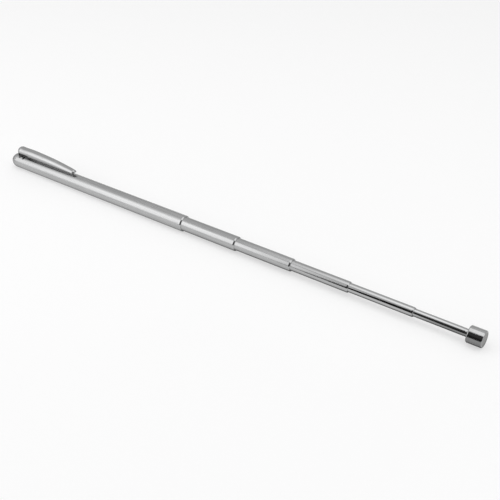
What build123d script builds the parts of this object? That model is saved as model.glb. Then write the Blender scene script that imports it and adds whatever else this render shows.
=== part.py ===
from build123d import *
import math
import os

# Telescoping magnetic pickup tool, millimetres.
# +X runs along the tool axis towards the magnet, +Z points towards the pocket
# clip, and the origin is on the axis, half way along the bare grip of the barrel.
# The tool is drawn part way out; every section slides and turns in the one before.

# ---- driving dimensions ------------------------------------------------------
WALL = 0.25                # wall of every drawn tube
RUN = 0.03                 # radial running clearance of lips and guide bushes
SPRING_RUN = 0.015         # radial clearance of a friction spring in its tube
GROOVE_RUN = 0.05          # radial clearance of a friction spring on its bush
STOP_GAP = 0.15            # what is left between two stops at the end of travel

R_TUBE = [4.0, 3.5, 3.0, 2.5, 2.1, 1.7]            # outer radii, barrel first
X_MOUTH = [38.3, 70.1, 100.5, 129.2, 158.8, 181.45]  # open ends, as drawn

X_REAR = -89.1             # rear end of the barrel, on the end plug
PLUG_HEAD = 4.7            # length of the end plug that shows
PLUG_SPIGOT = 8.7          # length of the end plug inside the barrel
PLUG_FLAT = 1.3            # radius of the flat left in the middle of the domed end
PLUG_RIM = 0.5             # straight rim of the end plug, behind the seam
SEAM_BREAK = 0.12          # broken edges at the seam of plug and barrel

LIP = 1.2                  # length of the rolled lip at a mouth
LIP_ROUND = 0.95           # radius that a mouth is rolled in to
LIP_EDGE = 0.06            # flat edge left at a mouth
BUSH = 3.6                 # guide bush behind the end of its tube
BUSH_SPIGOT = 2.2          # guide bush inside its tube
BUSH_BORE = 0.55           # bore of a guide bush, as a part of its spigot radius
GROOVE = 2.2               # groove for the friction spring
SPRING_SIDE = 0.06         # side play of the friction spring in its groove
SPRING_SPLIT = 0.9         # gap of the split friction spring
CLOSED_GAP = 1.0           # what stays out of each mouth when closed

HEAD_R = 3.6               # magnet cup
HEAD_LENGTH = 6.6
HEAD_REAR_ROUND = 0.5
HEAD_FRONT_ROUND = 0.6
CUP_WALL = 0.75
CUP_FLOOR = 1.0
MAGNET_RECESS = 0.0
STEM_FLANGE_R = 2.3
STEM_FLANGE = 0.7
BACKING = 0.8
STEM_SHANK = 5.7           # stem inside the last tube
CRIMP_BACK = 1.15          # crimp groove, behind the cup
CRIMP_WIDTH = 1.2
CRIMP_DEPTH = 0.05

CLIP_T = 0.45              # clip sheet
CLIP_REAR_X = -80.6        # centre of the clip's rounded rear end
CLIP_REAR_R = 2.75
CLIP_REAR_Z = 6.54
CLIP_SKIRT_X = -81.6       # front edge of the rear skirt
TONGUE_HALF = 33.0         # half angle of the clip's tongue, degrees
SLOT_X = (-79.3, -78.25)   # transverse slot in the barrel for the tongue
SLOT_HALF = 2.6            # half width of that slot
# clip stations: x, outer radius of the arc, its centre height, and how far above
# that centre its lower edges are, degrees
CLIP_STATIONS = [
    (-80.60, 2.75, 6.54, 0.5),
    (-75.40, 2.75, 6.55, 0.5),
    (-69.00, 2.70, 6.56, 0.5),
    (-60.70, 2.55, 6.33, 1.5),
    (-54.20, 2.38, 6.08, 3.0),
    (-48.40, 2.20, 5.69, 6.0),
    (-43.80, 2.02, 5.33, 12.0),
    (-39.90, 1.82, 4.92, 19.0),
]
BALL_R = 0.9               # dimple under the nose, which bears on the barrel
BALL_X = -40.4

os.makedirs("parts", exist_ok=True)

SEAM_X = X_REAR + PLUG_HEAD              # end plug meets barrel tube
CAVITY_X = SEAM_X + PLUG_SPIGOT          # front face of the end plug
BORE = [r - WALL for r in R_TUBE]

# tube lengths: a closed section reaches its stop with CLOSED_GAP left outside
LENGTH = [X_MOUTH[0] - SEAM_X]
LENGTH.append(X_MOUTH[0] + CLOSED_GAP - CAVITY_X - STOP_GAP - BUSH)
for _ in range(4):
    LENGTH.append(LENGTH[-1] + CLOSED_GAP - BUSH_SPIGOT - STOP_GAP - BUSH)

# travel of each section from the drawn pose
for n in range(1, 6):
    out = X_MOUTH[n] - X_MOUTH[n - 1]
    most = LENGTH[n] - LIP - STOP_GAP
    print(f"section {n + 1}: length {LENGTH[n]:.2f}, slide {CLOSED_GAP - out:.2f} to {most - out:.2f}")
head_front = X_MOUTH[5] + HEAD_LENGTH
closed = X_MOUTH[0] - X_REAR + 5 * CLOSED_GAP + HEAD_LENGTH
full = X_MOUTH[0] - X_REAR + sum(LENGTH[n] - LIP - STOP_GAP for n in range(1, 6)) + HEAD_LENGTH
print(f"as drawn {head_front - X_REAR:.1f}, closed {closed:.1f}, fully out {full:.1f}")


# ---- barrel ------------------------------------------------------------------
with BuildPart() as barrel_tube:
    with BuildSketch(Plane.XZ):
        with BuildLine():
            xm = X_MOUTH[0]
            edge_r = R_TUBE[1] + RUN + LIP_EDGE
            turn = math.acos(1 - (R_TUBE[0] - edge_r) / LIP_ROUND)
            Polyline(
                (xm, edge_r),
                (xm, R_TUBE[1] + RUN),
                (xm - LIP + 0.2, R_TUBE[1] + RUN),
                (xm - LIP, BORE[0]),
                (SEAM_X, BORE[0]),
                (SEAM_X, R_TUBE[0] - SEAM_BREAK),
                (SEAM_X + SEAM_BREAK, R_TUBE[0]),
                (xm - LIP_ROUND * math.sin(turn), R_TUBE[0]),
            )
            ThreePointArc(
                (xm - LIP_ROUND * math.sin(turn), R_TUBE[0]),
                (
                    xm - LIP_ROUND * (math.sin(turn) - math.sin(turn / 2)),
                    R_TUBE[0] - LIP_ROUND * (1 - math.cos(turn / 2)),
                ),
                (xm, edge_r),
            )
        make_face()
    revolve(axis=Axis.X)
    # transverse slot that takes the tongue of the clip
    with BuildSketch(Plane.XY.offset(2.0)):
        with Locations(((SLOT_X[0] + SLOT_X[1]) / 2, 0)):
            Rectangle(SLOT_X[1] - SLOT_X[0], 2 * SLOT_HALF)
    extrude(amount=3.0, mode=Mode.SUBTRACT)
barrel_tube.part.label = "barrel_tube"
export_step(barrel_tube.part, "parts/barrel_tube.step")

with BuildPart() as barrel_end_plug:
    with BuildSketch(Plane.XZ):
        with BuildLine():
            Polyline(
                (SEAM_X - PLUG_RIM, R_TUBE[0]),
                (SEAM_X - SEAM_BREAK, R_TUBE[0]),
                (SEAM_X, R_TUBE[0] - SEAM_BREAK),
                (SEAM_X, BORE[0]),
                (CAVITY_X - 0.4, BORE[0]),
                (CAVITY_X, BORE[0] - 0.4),
                (CAVITY_X, 0),
                (X_REAR, 0),
                (X_REAR, PLUG_FLAT),
            )
            Spline(
                (X_REAR, PLUG_FLAT),
                (X_REAR + 0.75, 2.35),
                (X_REAR + 2.0, 3.35),
                (SEAM_X - PLUG_RIM, R_TUBE[0]),
                tangents=((0.45, 1.0), (1.0, 0.0)),
            )
        make_face()
    revolve(axis=Axis.X)
    # flat on the spigot under the hooked end of the clip's tongue
    with BuildSketch(Plane.XY.offset(2.55)):
        with Locations(((SLOT_X[0] - 0.3 + CAVITY_X + 0.5) / 2, 0)):
            Rectangle(CAVITY_X + 0.5 - SLOT_X[0] + 0.3, 6.0)
    extrude(amount=2.0, mode=Mode.SUBTRACT)
barrel_end_plug.part.label = "barrel_end_plug"
export_step(barrel_end_plug.part, "parts/barrel_end_plug.step")


# ---- pocket clip -------------------------------------------------------------
# plane through the axis, turned to one side of the tongue
TONGUE_PLANE = Plane(
    origin=(0, 0, 0),
    x_dir=(1, 0, 0),
    z_dir=(
        0,
        -math.cos(math.radians(TONGUE_HALF)),
        math.sin(math.radians(TONGUE_HALF)),
    ),
)

with BuildPart() as pocket_clip:
    # half-round channel, lofted through the stations
    for x, radius, centre, edge in CLIP_STATIONS:
        e = math.radians(edge)
        with BuildSketch(Plane.YZ.offset(x)):
            with BuildLine():
                low = centre + radius * math.sin(e)
                ThreePointArc((-radius * math.cos(e), low), (0, centre + radius), (radius * math.cos(e), low))
                Line((radius * math.cos(e), low), (-radius * math.cos(e), low))
            make_face()
    loft()
    # rounded nose, the front half of a ball cut off level with the channel's edges
    nose_x, nose_r, nose_z, nose_e = CLIP_STATIONS[-1]
    nose_low = nose_z + nose_r * math.sin(math.radians(nose_e))
    with BuildSketch(Plane.XZ):
        with BuildLine():
            Polyline(
                (nose_x, nose_z + nose_r),
                (nose_x, nose_low),
                (nose_x + nose_r * math.cos(math.radians(nose_e)), nose_low),
            )
            ThreePointArc(
                (nose_x + nose_r * math.cos(math.radians(nose_e)), nose_low),
                (nose_x + nose_r * math.sin(math.radians(35)), nose_z + nose_r * math.cos(math.radians(35))),
                (nose_x, nose_z + nose_r),
            )
        make_face()
    revolve(axis=Axis((nose_x, 0, 0), (0, 0, 1)), revolution_arc=360)
    # rounded rear end, and the skirt under it that stands on the barrel
    with BuildSketch(Plane.XZ):
        with BuildLine():
            Polyline(
                (CLIP_REAR_X, CLIP_REAR_Z + CLIP_REAR_R),
                (CLIP_REAR_X, 2.0),
                (CLIP_REAR_X - CLIP_REAR_R, 2.0),
                (CLIP_REAR_X - CLIP_REAR_R, CLIP_REAR_Z),
            )
            RadiusArc(
                (CLIP_REAR_X - CLIP_REAR_R, CLIP_REAR_Z),
                (CLIP_REAR_X, CLIP_REAR_Z + CLIP_REAR_R),
                CLIP_REAR_R,
            )
        make_face()
    revolve(axis=Axis((CLIP_REAR_X, 0, 0), (0, 0, 1)), revolution_arc=360)
    # the rear end is only the half behind its centre, and the skirt ends early
    with BuildSketch(Plane.XY.offset(0.0)):
        with Locations((CLIP_REAR_X + 5.0, 0)):
            Rectangle(10.0, 8.0)
    extrude(amount=3.8, mode=Mode.SUBTRACT)
    with BuildSketch(Plane.XY.offset(0.0)):
        with Locations((CLIP_SKIRT_X + 3.0, 0)):
            Rectangle(6.0, 8.0)
    extrude(amount=CLIP_REAR_Z, mode=Mode.SUBTRACT)
    # hollow it: the same shape, one sheet smaller
    for x, radius, centre, edge in CLIP_STATIONS:
        inner = radius - CLIP_T
        with BuildSketch(Plane.YZ.offset(x)):
            with BuildLine():
                low = centre - 0.9
                Line((-inner, low), (-inner, centre))
                ThreePointArc((-inner, centre), (0, centre + inner), (inner, centre))
                Line((inner, centre), (inner, low))
                Line((inner, low), (-inner, low))
            make_face()
    loft(mode=Mode.SUBTRACT)
    with BuildSketch(Plane.XZ):
        with BuildLine():
            Polyline(
                (nose_x, nose_z + nose_r - CLIP_T),
                (nose_x, nose_z - 0.9),
                (nose_x + nose_r - CLIP_T, nose_z - 0.9),
                (nose_x + nose_r - CLIP_T, nose_z),
            )
            RadiusArc(
                (nose_x + nose_r - CLIP_T, nose_z),
                (nose_x, nose_z + nose_r - CLIP_T),
                -(nose_r - CLIP_T),
            )
        make_face()
    revolve(axis=Axis((nose_x, 0, 0), (0, 0, 1)), revolution_arc=360, mode=Mode.SUBTRACT)
    with BuildSketch(Plane.XZ):
        with BuildLine():
            Polyline(
                (CLIP_REAR_X, CLIP_REAR_Z + CLIP_REAR_R - CLIP_T),
                (CLIP_REAR_X, 1.0),
                (CLIP_REAR_X - CLIP_REAR_R + CLIP_T, 1.0),
                (CLIP_REAR_X - CLIP_REAR_R + CLIP_T, CLIP_REAR_Z),
            )
            RadiusArc(
                (CLIP_REAR_X - CLIP_REAR_R + CLIP_T, CLIP_REAR_Z),
                (CLIP_REAR_X, CLIP_REAR_Z + CLIP_REAR_R - CLIP_T),
                CLIP_REAR_R - CLIP_T,
            )
        make_face()
    revolve(axis=Axis((CLIP_REAR_X, 0, 0), (0, 0, 1)), revolution_arc=360, mode=Mode.SUBTRACT)
    # floor of the rear end, where the sheet folds forward into the tongue
    with BuildSketch(Plane.XY.offset(3.0)):
        with Locations((CLIP_REAR_X, 0)):
            Circle(CLIP_REAR_R - CLIP_T / 2)
        with Locations((CLIP_REAR_X - 3.1, 0)):
            Rectangle(3.2, 8.0, mode=Mode.INTERSECT)
    extrude(amount=R_TUBE[0] + CLIP_T - 3.0)
    # the skirt is cut to sit on the barrel
    with BuildSketch(Plane.YZ.offset(-95.0)):
        Circle(R_TUBE[0])
    extrude(amount=40.0, mode=Mode.SUBTRACT)
    # tongue: folded forward on the barrel, down the slot and hooked under the wall
    with BuildSketch(TONGUE_PLANE):
        with BuildLine():
            Polyline(
                (CLIP_REAR_X - 1.7, R_TUBE[0]),
                (SLOT_X[0] + 0.25, R_TUBE[0]),
                (SLOT_X[0] + 0.25, BORE[0] - CLIP_T),
                (SLOT_X[1] + 1.6, BORE[0] - CLIP_T),
                (SLOT_X[1] + 1.6, BORE[0]),
                (SLOT_X[0] + 0.25 + CLIP_T, BORE[0]),
                (SLOT_X[0] + 0.25 + CLIP_T, R_TUBE[0] + CLIP_T),
                (CLIP_REAR_X - 1.7, R_TUBE[0] + CLIP_T),
                (CLIP_REAR_X - 1.7, R_TUBE[0]),
            )
        make_face()
    revolve(axis=Axis.X, revolution_arc=2 * TONGUE_HALF)
    # ball-ended stud pressed out under the nose
    with BuildSketch(Plane.XZ):
        with BuildLine():
            Polyline(
                (BALL_X, nose_z + nose_r - CLIP_T / 2),
                (BALL_X + BALL_R, nose_z + nose_r - CLIP_T - 0.12),
                (BALL_X + BALL_R, R_TUBE[0] + BALL_R),
            )
            Line((BALL_X, nose_z + nose_r - CLIP_T / 2), (BALL_X, R_TUBE[0] + 0.01))
            ThreePointArc(
                (BALL_X, R_TUBE[0] + 0.01),
                (BALL_X + BALL_R * math.sin(math.radians(50)), R_TUBE[0] + 0.01 + BALL_R * (1 - math.cos(math.radians(50)))),
                (BALL_X + BALL_R, R_TUBE[0] + BALL_R),
            )
        make_face()
    revolve(axis=Axis((BALL_X, 0, 0), (0, 0, 1)), revolution_arc=360)
pocket_clip.part.label = "pocket_clip"
export_step(pocket_clip.part, "parts/pocket_clip.step")


# ---- inner sections ----------------------------------------------------------
for n in range(1, 6):
    number = n + 1
    r_out, r_in, mouth = R_TUBE[n], BORE[n], X_MOUTH[n]
    rear = mouth - LENGTH[n]

    with BuildPart() as section_tube:
        with BuildSketch(Plane.XZ):
            with BuildLine():
                if n < 5:
                    # mouth rolled in over the next section
                    r_lip = R_TUBE[n + 1] + RUN
                    edge_r = r_lip + LIP_EDGE
                    turn = math.acos(1 - (r_out - edge_r) / LIP_ROUND)
                    Polyline(
                        (mouth, edge_r),
                        (mouth, r_lip),
                        (mouth - LIP + 0.2, r_lip),
                        (mouth - LIP, r_in),
                        (rear, r_in),
                        (rear, r_out),
                        (mouth - LIP_ROUND * math.sin(turn), r_out),
                    )
                    ThreePointArc(
                        (mouth - LIP_ROUND * math.sin(turn), r_out),
                        (
                            mouth - LIP_ROUND * (math.sin(turn) - math.sin(turn / 2)),
                            r_out - LIP_ROUND * (1 - math.cos(turn / 2)),
                        ),
                        (mouth, edge_r),
                    )
                else:
                    # last section: plain end, crimped into the groove of the stem
                    x1 = mouth - CRIMP_BACK
                    w, d = CRIMP_WIDTH / 2, CRIMP_DEPTH
                    Polyline(
                        (mouth, r_out),
                        (mouth, r_in),
                        (x1 + w, r_in),
                        (x1, r_in - d),
                        (x1 - w, r_in),
                        (rear, r_in),
                        (rear, r_out),
                        (x1 - w, r_out),
                        (x1, r_out - d),
                        (x1 + w, r_out),
                        (mouth, r_out),
                    )
            make_face()
        revolve(axis=Axis.X)
    section_tube.part.label = f"section_{number}_tube"
    export_step(section_tube.part, f"parts/section_{number}_tube.step")

    # guide bush: spigot pressed into the tube, and a grooved collar behind it
    collar = BORE[n - 1] - RUN
    g0 = rear - BUSH + (BUSH - GROOVE) / 2
    with BuildPart() as guide_bush:
        with BuildSketch(Plane.XZ):
            with BuildLine():
                Polyline(
                    (rear + BUSH_SPIGOT, BUSH_BORE * r_in),
                    (rear + BUSH_SPIGOT, r_in - 0.15),
                    (rear + BUSH_SPIGOT - 0.15, r_in),
                    (rear, r_in),
                    (rear, collar - 0.04),
                    (rear - 0.04, collar),
                    (g0 + GROOVE, collar),
                    (g0 + GROOVE, r_in),
                    (g0, r_in),
                    (g0, collar),
                    (rear - BUSH + 0.04, collar),
                    (rear - BUSH, collar - 0.04),
                    (rear - BUSH, BUSH_BORE * r_in),
                    (rear + BUSH_SPIGOT, BUSH_BORE * r_in),
                )
            make_face()
        revolve(axis=Axis.X)
    guide_bush.part.label = f"section_{number}_guide_bush"
    export_step(guide_bush.part, f"parts/section_{number}_guide_bush.step")

    # friction spring: split ring of spring bronze in the groove of the bush
    s_in, s_out = r_in + GROOVE_RUN, BORE[n - 1] - SPRING_RUN
    with BuildPart() as friction_spring:
        with BuildSketch(Plane.XZ):
            with BuildLine():
                Polyline(
                    (g0 + SPRING_SIDE, s_in),
                    (g0 + GROOVE - SPRING_SIDE, s_in),
                    (g0 + GROOVE - SPRING_SIDE, s_out - 0.05),
                    (g0 + GROOVE - SPRING_SIDE - 0.4, s_out),
                    (g0 + SPRING_SIDE + 0.4, s_out),
                    (g0 + SPRING_SIDE, s_out - 0.05),
                    (g0 + SPRING_SIDE, s_in),
                )
            make_face()
        revolve(axis=Axis.X)
        with BuildSketch(Plane.XY):
            with Locations((g0 + GROOVE / 2, 0)):
                Rectangle(GROOVE + 1.0, SPRING_SPLIT)
        extrude(amount=R_TUBE[0], mode=Mode.SUBTRACT)
    friction_spring.part.label = f"section_{number}_friction_spring"
    export_step(friction_spring.part, f"parts/section_{number}_friction_spring.step")


# ---- magnet head -------------------------------------------------------------
HX0, HX1 = X_MOUTH[5], X_MOUTH[5] + HEAD_LENGTH
R_IN6 = BORE[5]
CUP_R = HEAD_R - CUP_WALL

with BuildPart() as magnet_cup:
    with BuildSketch(Plane.XZ):
        with BuildLine():
            Polyline(
                (HX0, HEAD_R - HEAD_REAR_ROUND),
                (HX0, R_IN6),
                (HX0 + CUP_FLOOR, R_IN6),
                (HX0 + CUP_FLOOR, CUP_R),
                (HX1 - 0.1, CUP_R),
                (HX1, CUP_R + 0.1),
                (HX1, HEAD_R - HEAD_FRONT_ROUND),
            )
            RadiusArc((HX1 - HEAD_FRONT_ROUND, HEAD_R), (HX1, HEAD_R - HEAD_FRONT_ROUND), HEAD_FRONT_ROUND)
            Line((HX1 - HEAD_FRONT_ROUND, HEAD_R), (HX0 + HEAD_REAR_ROUND, HEAD_R))
            RadiusArc((HX0, HEAD_R - HEAD_REAR_ROUND), (HX0 + HEAD_REAR_ROUND, HEAD_R), HEAD_REAR_ROUND)
        make_face()
    revolve(axis=Axis.X)
magnet_cup.part.label = "magnet_cup"
export_step(magnet_cup.part, "parts/magnet_cup.step")

with BuildPart() as head_stem:
    with BuildSketch(Plane.XZ):
        x1 = HX0 - CRIMP_BACK
        w, d = CRIMP_WIDTH / 2, CRIMP_DEPTH
        with BuildLine():
            Polyline(
                (HX0 - STEM_SHANK, 0),
                (HX0 + CUP_FLOOR + STEM_FLANGE, 0),
                (HX0 + CUP_FLOOR + STEM_FLANGE, STEM_FLANGE_R),
                (HX0 + CUP_FLOOR, STEM_FLANGE_R),
                (HX0 + CUP_FLOOR, R_IN6),
                (x1 + w, R_IN6),
                (x1, R_IN6 - d),
                (x1 - w, R_IN6),
                (HX0 - STEM_SHANK + 0.3, R_IN6),
                (HX0 - STEM_SHANK, R_IN6 - 0.3),
                (HX0 - STEM_SHANK, 0),
            )
        make_face()
    revolve(axis=Axis.X)
head_stem.part.label = "head_stem"
export_step(head_stem.part, "parts/head_stem.step")

with BuildPart() as backing_disc:
    with BuildSketch(Plane.YZ.offset(HX0 + CUP_FLOOR)):
        Circle(CUP_R)
    extrude(amount=STEM_FLANGE + BACKING)
    # recess that seats the flange of the stem
    with BuildSketch(Plane.YZ.offset(HX0 + CUP_FLOOR)):
        Circle(STEM_FLANGE_R)
    extrude(amount=STEM_FLANGE, mode=Mode.SUBTRACT)
backing_disc.part.label = "backing_disc"
export_step(backing_disc.part, "parts/backing_disc.step")

with BuildPart() as magnet:
    with BuildSketch(Plane.YZ.offset(HX0 + CUP_FLOOR + STEM_FLANGE + BACKING)):
        Circle(CUP_R)
    extrude(amount=HEAD_LENGTH - CUP_FLOOR - STEM_FLANGE - BACKING - MAGNET_RECESS)
    chamfer(magnet.edges().filter_by(GeomType.CIRCLE).sort_by(Axis.X)[-1], 0.12)
magnet.part.label = "magnet"
export_step(magnet.part, "parts/magnet.step")
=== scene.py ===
import math

import bpy
from mathutils import Matrix, Vector


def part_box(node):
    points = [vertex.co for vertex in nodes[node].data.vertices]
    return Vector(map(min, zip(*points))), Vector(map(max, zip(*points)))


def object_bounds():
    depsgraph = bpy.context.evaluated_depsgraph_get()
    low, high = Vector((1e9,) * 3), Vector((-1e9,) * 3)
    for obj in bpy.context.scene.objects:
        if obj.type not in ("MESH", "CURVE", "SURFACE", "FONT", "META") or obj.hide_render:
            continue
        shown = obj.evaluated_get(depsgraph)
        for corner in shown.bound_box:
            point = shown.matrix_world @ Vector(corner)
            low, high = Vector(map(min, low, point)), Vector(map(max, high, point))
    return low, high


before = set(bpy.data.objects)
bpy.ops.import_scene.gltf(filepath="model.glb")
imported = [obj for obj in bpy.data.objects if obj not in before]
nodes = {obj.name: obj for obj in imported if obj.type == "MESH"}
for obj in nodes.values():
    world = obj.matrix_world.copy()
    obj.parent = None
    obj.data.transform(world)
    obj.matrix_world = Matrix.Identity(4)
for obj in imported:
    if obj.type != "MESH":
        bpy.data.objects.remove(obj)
cad_low, cad_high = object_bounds()
scene = bpy.context.scene

# ------------------------------------------------------------------ camera
TARGET = Vector((0.0771606, -0.0002195, -0.0004362))
BACK = Vector((0.501093862801793, -0.684858560263027, 0.5290308999452031)).normalized()
DISTANCE = 0.333693
ROLL = math.radians(0.03)

side = (-BACK).cross(Vector((0, 0, 1))).normalized()
top = side.cross(-BACK)
side, top = (
    math.cos(ROLL) * side + math.sin(ROLL) * top,
    -math.sin(ROLL) * side + math.cos(ROLL) * top,
)
place = TARGET + DISTANCE * BACK
camera_data = bpy.data.cameras.new("camera")
camera_data.sensor_width = 36.0
camera_data.lens = 52.56
camera_data.clip_start = 0.01
camera_data.clip_end = 30.0
camera = bpy.data.objects.new("camera", camera_data)
scene.collection.objects.link(camera)
camera.matrix_world = Matrix((
    (side.x, top.x, BACK.x, place.x),
    (side.y, top.y, BACK.y, place.y),
    (side.z, top.z, BACK.z, place.z),
    (0, 0, 0, 1),
))
scene.camera = camera
scene.view_settings.view_transform = "Standard"


# ------------------------------------------------------------------ node helpers
class Tree:
    """A small helper that adds nodes to a material and links them."""

    def __init__(self, name):
        self.material = bpy.data.materials.new(name)
        self.material.use_nodes = True
        self.tree = self.material.node_tree
        self.tree.nodes.clear()
        self.output = self.add("ShaderNodeOutputMaterial")
        self.shader = self.add("ShaderNodeBsdfPrincipled")
        self.join(self.shader.outputs["BSDF"], self.output.inputs["Surface"])
        self.place = self.add("ShaderNodeTexCoord").outputs["Object"]

    def add(self, kind, **settings):
        node = self.tree.nodes.new(kind)
        for key, value in settings.items():
            setattr(node, key, value)
        return node

    def join(self, out, into):
        self.tree.links.new(out, into)

    def feed(self, socket, value):
        if hasattr(value, "is_output"):
            self.join(value, socket)
        else:
            socket.default_value = value

    def maths(self, operation, a, b=None, c=None, clamp=False):
        node = self.add("ShaderNodeMath", operation=operation, use_clamp=clamp)
        for i, value in enumerate((a, b, c)):
            if value is not None:
                self.feed(node.inputs[i], value)
        return node.outputs[0]

    def stretched(self, scale, source=None):
        node = self.add("ShaderNodeMapping")
        self.join(source or self.place, node.inputs["Vector"])
        node.inputs["Scale"].default_value = scale
        return node.outputs[0]

    def noise(self, vector, scale=1.0, detail=2.0, rough=0.5, distortion=0.0):
        node = self.add("ShaderNodeTexNoise")
        self.join(vector, node.inputs["Vector"])
        node.inputs["Scale"].default_value = scale
        node.inputs["Detail"].default_value = detail
        node.inputs["Roughness"].default_value = rough
        node.inputs["Distortion"].default_value = distortion
        return node.outputs["Fac"]

    def ramp(self, value, low, high, out_low=0.0, out_high=1.0):
        node = self.add("ShaderNodeMapRange")
        node.clamp = True
        self.feed(node.inputs["Value"], value)
        node.inputs["From Min"].default_value = low
        node.inputs["From Max"].default_value = high
        node.inputs["To Min"].default_value = out_low
        node.inputs["To Max"].default_value = out_high
        return node.outputs["Result"]

    def blend(self, factor, a, b):
        node = self.add("ShaderNodeMix", data_type="RGBA")
        self.feed(node.inputs[0], factor)
        self.feed(node.inputs[6], a)
        self.feed(node.inputs[7], b)
        return node.outputs[2]

    def apart(self):
        node = self.add("ShaderNodeSeparateXYZ")
        self.join(self.place, node.inputs[0])
        return node.outputs[0], node.outputs[1], node.outputs[2]

    def radius(self):
        x, y, z = self.apart()
        return self.maths("SQRT", self.maths("ADD", self.maths("MULTIPLY", y, y), self.maths("MULTIPLY", z, z)))

    def bump(self, height, distance, strength=1.0, after=None):
        node = self.add("ShaderNodeBump")
        node.inputs["Strength"].default_value = strength
        node.inputs["Distance"].default_value = distance
        self.join(height, node.inputs["Height"])
        if after is not None:
            self.join(after, node.inputs["Normal"])
        return node.outputs["Normal"]


def grey(value, warm=0.0):
    return (value * (1 + warm), value, value * (1 - warm), 1.0)


def drawn_metal(name, shade, rough, streak=1.0, smudge=1.0, mouth=None, warm=-0.004, bump=1.0, scratch=1.0):
    """Drawn and plated tube: fine lengthwise lines, soft smudges, a few hair scratches, and a mouth burnished by the roller."""
    t = Tree(name)
    fine = t.noise(t.stretched((35.0, 5200.0, 5200.0)), detail=3.0, rough=0.6)
    broad = t.noise(t.stretched((14.0, 1300.0, 1300.0)), detail=2.0)
    cloud = t.noise(t.place, scale=95.0, detail=4.0, rough=0.55, distortion=0.4)
    hair = t.noise(t.stretched((55.0, 2600.0, 2600.0)), detail=1.0)
    hair = t.ramp(hair, 0.68, 0.74)
    ring = t.noise(t.stretched((900.0, 60.0, 60.0)), detail=2.0)
    lines = t.maths("ADD", t.maths("MULTIPLY", fine, 0.55), t.maths("MULTIPLY", broad, 0.45))
    tone = t.maths("ADD", t.maths("MULTIPLY", lines, 0.75), t.maths("MULTIPLY", cloud, 0.25))
    dark = grey(shade * (1 - 0.13 * streak), warm)
    light = grey(min(1.0, shade * (1 + 0.13 * streak)), warm)
    colour = t.blend(t.ramp(tone, 0.3, 0.7), dark, light)
    value = t.maths("ADD", rough - 0.05 * streak - 0.04 * smudge, t.maths("MULTIPLY", lines, 0.10 * streak))
    value = t.maths("ADD", value, t.maths("MULTIPLY", t.ramp(cloud, 0.35, 0.75), 0.08 * smudge))
    value = t.maths("ADD", value, t.maths("MULTIPLY", hair, 0.10 * scratch))
    if mouth is not None:
        x, y, z = t.apart()
        near = t.ramp(x, mouth - 0.0013, mouth - 0.0010)
        value = t.maths("MULTIPLY", value, t.ramp(near, 0.0, 1.0, 1.0, 0.0))
        value = t.maths("ADD", value, t.maths("MULTIPLY", near, 0.09))
    value = t.maths("MAXIMUM", value, 0.03)
    t.join(colour, t.shader.inputs["Base Color"])
    t.join(value, t.shader.inputs["Roughness"])
    normal = t.bump(lines, 0.0000035 * bump)
    normal = t.bump(ring, 0.0000025 * bump, after=normal)
    normal = t.bump(t.maths("MULTIPLY", hair, -1.0), 0.000004 * scratch, after=normal)
    t.join(normal, t.shader.inputs["Normal"])
    t.shader.inputs["Metallic"].default_value = 1.0
    return t.material


def turned_metal(name, shade, rough, pitch=2600.0, warm=-0.004, bump=1.0, tint=None, smudge=1.0):
    """Turned on a lathe: fine rings round the axis on the outside, and circles on the end faces."""
    t = Tree(name)
    x, y, z = t.apart()
    r = t.radius()
    join = t.add("ShaderNodeCombineXYZ")
    t.join(t.maths("MULTIPLY", x, pitch), join.inputs[0])
    t.join(t.maths("MULTIPLY", r, pitch * 1.6), join.inputs[1])
    rings = t.noise(join.outputs[0], detail=2.0, rough=0.65)
    wide = t.add("ShaderNodeCombineXYZ")
    t.join(t.maths("MULTIPLY", x, pitch * 0.25), wide.inputs[0])
    t.join(t.maths("MULTIPLY", r, pitch * 0.35), wide.inputs[1])
    waves = t.noise(wide.outputs[0], detail=1.0)
    cloud = t.noise(t.place, scale=210.0, detail=4.0, rough=0.55, distortion=0.5)
    nicks = t.ramp(t.noise(t.stretched((1500.0, 2600.0, 2600.0)), detail=1.0), 0.73, 0.78)
    tone = t.maths("ADD", t.maths("MULTIPLY", rings, 0.6), t.maths("MULTIPLY", cloud, 0.4))
    a, b = grey(shade * 0.9, warm), grey(min(1.0, shade * 1.1), warm)
    if tint:
        a = tuple(c * 0.88 for c in tint[:3]) + (1.0,)
        b = tuple(min(1.0, c * 1.1) for c in tint[:3]) + (1.0,)
    t.join(t.blend(t.ramp(tone, 0.3, 0.7), a, b), t.shader.inputs["Base Color"])
    value = t.maths("ADD", rough - 0.04 - 0.03 * smudge, t.maths("MULTIPLY", rings, 0.08))
    value = t.maths("ADD", value, t.maths("MULTIPLY", t.ramp(cloud, 0.35, 0.75), 0.06 * smudge))
    value = t.maths("ADD", value, t.maths("MULTIPLY", nicks, 0.12))
    t.join(t.maths("MAXIMUM", value, 0.03), t.shader.inputs["Roughness"])
    normal = t.bump(t.maths("ADD", rings, waves), 0.0000022 * bump)
    normal = t.bump(t.maths("MULTIPLY", nicks, -1.0), 0.000004, after=normal)
    t.join(normal, t.shader.inputs["Normal"])
    t.shader.inputs["Metallic"].default_value = 1.0
    return t.material


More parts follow.
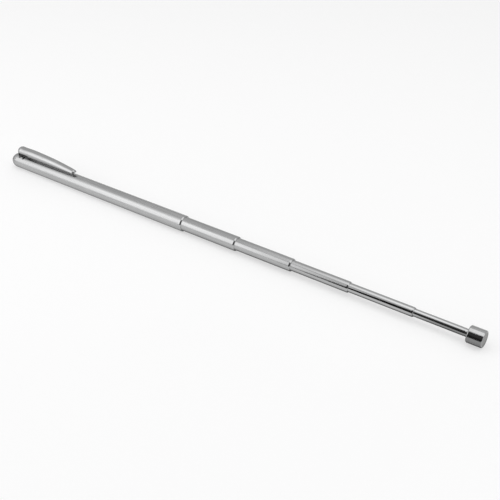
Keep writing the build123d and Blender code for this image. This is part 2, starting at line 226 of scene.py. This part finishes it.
def pressed_metal(name, shade, rough, warm=-0.004):
    """Sheet pressed in a die and plated: faint rolling grain, a slight orange peel, and a few hair scratches."""
    t = Tree(name)
    grain = t.noise(t.stretched((60.0, 2600.0, 2600.0)), detail=3.0, rough=0.6)
    peel = t.noise(t.place, scale=2200.0, detail=2.0, rough=0.5)
    cloud = t.noise(t.place, scale=140.0, detail=4.0, rough=0.55, distortion=0.4)
    hair = t.ramp(t.noise(t.stretched((240.0, 1600.0, 1600.0)), detail=1.0), 0.7, 0.75)
    tone = t.maths("ADD", t.maths("MULTIPLY", grain, 0.55), t.maths("MULTIPLY", cloud, 0.45))
    facing = t.add("ShaderNodeTexCoord").outputs["Normal"]
    split = t.add("ShaderNodeSeparateXYZ")
    t.join(facing, split.inputs[0])
    # painted light: surfaces facing down get a lighter base colour (grey 0.6) that lifts the shade under the clip, and
    # also more roughness
    underside_painted_light = t.ramp(split.outputs[2], -0.75, -0.35, 1.0, 0.0)
    colour = t.blend(t.ramp(tone, 0.3, 0.7), grey(shade * 0.88, warm), grey(shade * 1.12, warm))
    colour = t.blend(underside_painted_light, colour, grey(0.6, 0.0))
    t.join(colour, t.shader.inputs["Base Color"])
    value = t.maths("ADD", rough - 0.07, t.maths("MULTIPLY", grain, 0.08))
    value = t.maths("ADD", value, t.maths("MULTIPLY", underside_painted_light, 0.2))
    value = t.maths("ADD", value, t.maths("MULTIPLY", t.ramp(cloud, 0.35, 0.75), 0.08))
    value = t.maths("ADD", value, t.maths("MULTIPLY", hair, 0.1))
    t.join(t.maths("MAXIMUM", value, 0.03), t.shader.inputs["Roughness"])
    normal = t.bump(grain, 0.000003)
    normal = t.bump(peel, 0.0000015, after=normal)
    normal = t.bump(t.maths("MULTIPLY", hair, -1.0), 0.000004, after=normal)
    t.join(normal, t.shader.inputs["Normal"])
    t.shader.inputs["Metallic"].default_value = 1.0
    return t.material


# ------------------------------------------------------------------ finishes of the CAD nodes
mouths = {n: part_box(n)[1].x for n in nodes if n.endswith("_tube")}
finish = {}
finish["barrel_tube"] = drawn_metal("barrel_satin", 0.43, 0.26, mouth=mouths["barrel_tube"])
finish["section_2_tube"] = drawn_metal("section_2_satin", 0.43, 0.24, mouth=mouths["section_2_tube"])
finish["section_3_tube"] = drawn_metal("section_3_satin", 0.43, 0.22, mouth=mouths["section_3_tube"])
finish["section_4_tube"] = drawn_metal("section_4_bright", 0.44, 0.17, streak=0.7, smudge=0.7, mouth=mouths["section_4_tube"])
finish["section_5_tube"] = drawn_metal("section_5_chrome", 0.46, 0.09, streak=0.4, smudge=0.5, mouth=mouths["section_5_tube"], bump=0.4)
finish["section_6_tube"] = drawn_metal("section_6_chrome", 0.46, 0.09, streak=0.4, smudge=0.5, bump=0.4)
finish["barrel_end_plug"] = turned_metal("plug_turned", 0.37, 0.24)
finish["pocket_clip"] = pressed_metal("clip_pressed", 0.41, 0.18)
finish["head_stem"] = turned_metal("stem_turned", 0.42, 0.25)
finish["magnet_cup"] = turned_metal("cup_chrome", 0.44, 0.10, pitch=2200.0, bump=0.4, smudge=0.6)
finish["backing_disc"] = turned_metal("disc_steel", 0.4, 0.35)
finish["magnet"] = turned_metal("magnet_nickel", 0.4, 0.26, tint=(0.245, 0.242, 0.235))
bronze = turned_metal("spring_bronze", 0.5, 0.3, tint=(0.5, 0.33, 0.18))
brass = turned_metal("bush_brass", 0.5, 0.3, tint=(0.55, 0.42, 0.2))
for n, o in nodes.items():
    if n not in finish:
        finish[n] = bronze if "spring" in n else brass
    o.data.materials.clear()
    o.data.materials.append(finish[n])

# ------------------------------------------------------------------ stage
FLOOR = cad_low.z


def patch(name, radius, columns, rows, edge, glow=None):
    """A card bent round the X axis. edge(x) gives its lowest and highest angle above the front horizon, in degrees."""
    verts, faces, shine = [], [], []
    for i, x in enumerate(columns):
        low, high = edge(x)
        for j in range(rows + 1):
            a = math.radians(low + (high - low) * j / rows)
            verts.append((x, -radius * math.cos(a), radius * math.sin(a)))
            shine.append(glow(x, math.degrees(a)) if glow else 0.0)
            if i and j:
                k = i * (rows + 1) + j
                faces.append((k - rows - 2, k - 1, k, k - rows - 1))
    mesh = bpy.data.meshes.new(name)
    mesh.from_pydata(verts, [], faces)
    attribute = mesh.attributes.new("glow", "FLOAT", "POINT")
    attribute.data.foreach_set("value", shine)
    card = bpy.data.objects.new(name, mesh)
    scene.collection.objects.link(card)
    card.visible_camera = False
    t = Tree(name)
    t.tree.nodes.remove(t.shader)
    lamp = t.add("ShaderNodeEmission")
    reader = t.add("ShaderNodeAttribute", attribute_name="glow")
    t.join(reader.outputs["Fac"], lamp.inputs["Strength"])
    t.join(lamp.outputs[0], t.output.inputs["Surface"])
    mesh.materials.append(t.material)
    return card


def smooth(value, low, high):
    s = min(1.0, max(0.0, (value - low) / (high - low)))
    return s * s * (3 - 2 * s)


def span(first, last, count):
    return [first + (last - first) * i / count for i in range(count + 1)]


def key_glow(x, a):
    level = 1.97 - 1.15 * smooth(x, -0.32, -0.10)
    level = 0.3 + (level - 0.3) * smooth(x, -0.95, -0.82)
    fall = smooth(a, 44, 86) if x < -0.4 else smooth(a, 50, 68) * 0.5
    base = 0.8 if x < -0.4 else 0.3
    level = base + (level - base) * (1 - fall)
    return level * (0.72 + 0.28 * smooth(a, 1, 14))


OVER = [(-0.42, 0.62), (-0.307, 0.745), (-0.26, 0.87), (-0.208, 1.11), (-0.168, 1.23), (-0.12, 1.38), (-0.07, 1.53), (-0.02, 1.7), (0.02, 1.65), (0.06, 1.45), (2.0, 1.45)]


def over_glow(x, a):
    for (x0, g0), (x1, g1) in zip(OVER, OVER[1:]):
        if x <= x1:
            return g0 + (g1 - g0) * (x - x0) / (x1 - x0)
    return OVER[-1][1]


key = patch("key_softbox", 0.6, span(-1.9, -0.4, 50), 30, lambda x: (0.6, 90.0), key_glow)
key_end = patch("key_softbox_end", 0.6, span(-0.399, -0.09, 20), 30, lambda x: (0.6, 68.0), key_glow)
over = patch("overhead_softbox", 0.6, span(-0.38, 0.95, 34), 12, lambda x: (71.0, 114.0), over_glow)

FLAG = [(-0.065, 0), (-0.045, 1), (-0.03, 8), (0.0, 20), (0.02, 31), (0.05, 43), (0.08, 51), (0.118, 61), (0.15, 66), (0.45, 66)]


def flag_edge(x):
    for (x0, a0), (x1, a1) in zip(FLAG, FLAG[1:]):
        if x <= x1:
            return -0.6, a0 + (a1 - a0) * max(0.0, (x - x0) / (x1 - x0))
    return -0.6, FLAG[-1][1]


flag = patch("black_flag", 0.289, span(-0.065, 0.45, 52), 12, flag_edge, lambda x, a: 0.017 + 0.6 * (1 - smooth(x, -0.048, -0.024)) + 0.038 * smooth(x, 0.05, 0.09) * smooth(a, 12, 30))
flag.visible_diffuse = False
flag.visible_shadow = False

# a card lying on the floor, seen only in the metal, whose glow stands in for the floor in the reflections: black
# beyond the tool's shade, with a painted contact shadow graded towards the contact line and painted shade near the
# head
def low_card_glow(x, y):
    along = x - 0.577 * y
    head = smooth(x, 0.150, 0.170)
    past = smooth(x, 0.1878, 0.1892)
    far = smooth(-y, 0.032 - 0.010 * head, 0.054 - 0.020 * head)
    # painted shade: the glow is halved over the head, darkening the floor as the head reflects it
    level = (1.0 - 0.5 * head) * (1 - past) + 0.7 * past
    # painted contact shadow: the glow falls to 0.28 at the contact line, and the next line lifts it again behind the
    # tool and past the head end
    near = (1 - 0.2 * (1 - smooth(-y, 0.004, 0.009))) * (1 - 0.72 * (1 - smooth(-y, 0.0022, 0.0046)))
    near = near + (1 - near) * max(past, smooth(y, 0.003, 0.009))
    dark = smooth(along, 0.094, 0.114) * (1 - past)
    return level * near * (1 - far * dark) + 0.03 * far * dark


card_x = span(-0.13, 0.18, 40) + [0.1845, 0.1878, 0.1885, 0.1892, 0.195, 0.21, 0.24, 0.30, 0.40]
card_y = [-0.289, -0.12, -0.06, -0.045, -0.038, -0.034, -0.030, -0.026, -0.022, -0.018, -0.014, -0.011, -0.0085, -0.007, -0.006, -0.005, -0.0042, -0.0034, -0.0028, -0.002, -0.001, 0.003, 0.006, 0.009, 0.016, 0.03]
verts = [(x, y, FLOOR + 0.00002) for x in card_x for y in card_y]
faces = []
for i in range(len(card_x) - 1):
    for j in range(len(card_y) - 1):
        k = i * len(card_y) + j
        faces.append((k, k + len(card_y), k + len(card_y) + 1, k + 1))
low_mesh = bpy.data.meshes.new("low_card")
low_mesh.from_pydata(verts, [], faces)
glow = low_mesh.attributes.new("glow", "FLOAT", "POINT")
glow.data.foreach_set("value", [low_card_glow(x, y) for x, y, z in verts])
low_card = bpy.data.objects.new("low_card", low_mesh)
scene.collection.objects.link(low_card)
low_card.visible_camera = False
low_card.visible_diffuse = False
low_card.visible_shadow = False
low_mesh.materials.append(flag.data.materials[0])

floor_mesh = bpy.data.meshes.new("floor")
floor_mesh.from_pydata([(-6, -6, FLOOR), (6, -6, FLOOR), (6, 6, FLOOR), (-6, 6, FLOOR)], [], [(0, 1, 2, 3)])
floor = bpy.data.objects.new("floor", floor_mesh)
scene.collection.objects.link(floor)
paper = Tree("floor_paper")
paper.shader.inputs["Base Color"].default_value = (0.45, 0.45, 0.451, 1)
paper.shader.inputs["Emission Color"].default_value = (1, 1, 1, 1)
paper.shader.inputs["Emission Strength"].default_value = 0.53
paper.shader.inputs["Roughness"].default_value = 0.9
paper.shader.inputs["Specular IOR Level"].default_value = 0.1
floor_mesh.materials.append(paper.material)

world = bpy.data.worlds.new("studio")
world.use_nodes = True
sky = world.node_tree
sky.nodes["Background"].inputs["Color"].default_value = (1, 1, 1, 1)
around = sky.nodes.new("ShaderNodeTexCoord")
height = sky.nodes.new("ShaderNodeSeparateXYZ")
fade = sky.nodes.new("ShaderNodeMapRange")
fade.inputs["From Min"].default_value = 0.0
fade.inputs["From Max"].default_value = 1.0
fade.inputs["To Min"].default_value = 0.5
fade.inputs["To Max"].default_value = 0.85
sky.links.new(around.outputs["Generated"], height.inputs[0])
sky.links.new(height.outputs[2], fade.inputs["Value"])
paths = sky.nodes.new("ShaderNodeLightPath")
seen = sky.nodes.new("ShaderNodeMix")
seen.inputs["B"].default_value = 0.93
sky.links.new(paths.outputs["Is Camera Ray"], seen.inputs["Factor"])
sky.links.new(fade.outputs["Result"], seen.inputs["A"])
sky.links.new(seen.outputs["Result"], sky.nodes["Background"].inputs["Strength"])
world.cycles.sampling_method = "NONE"
scene.world = world
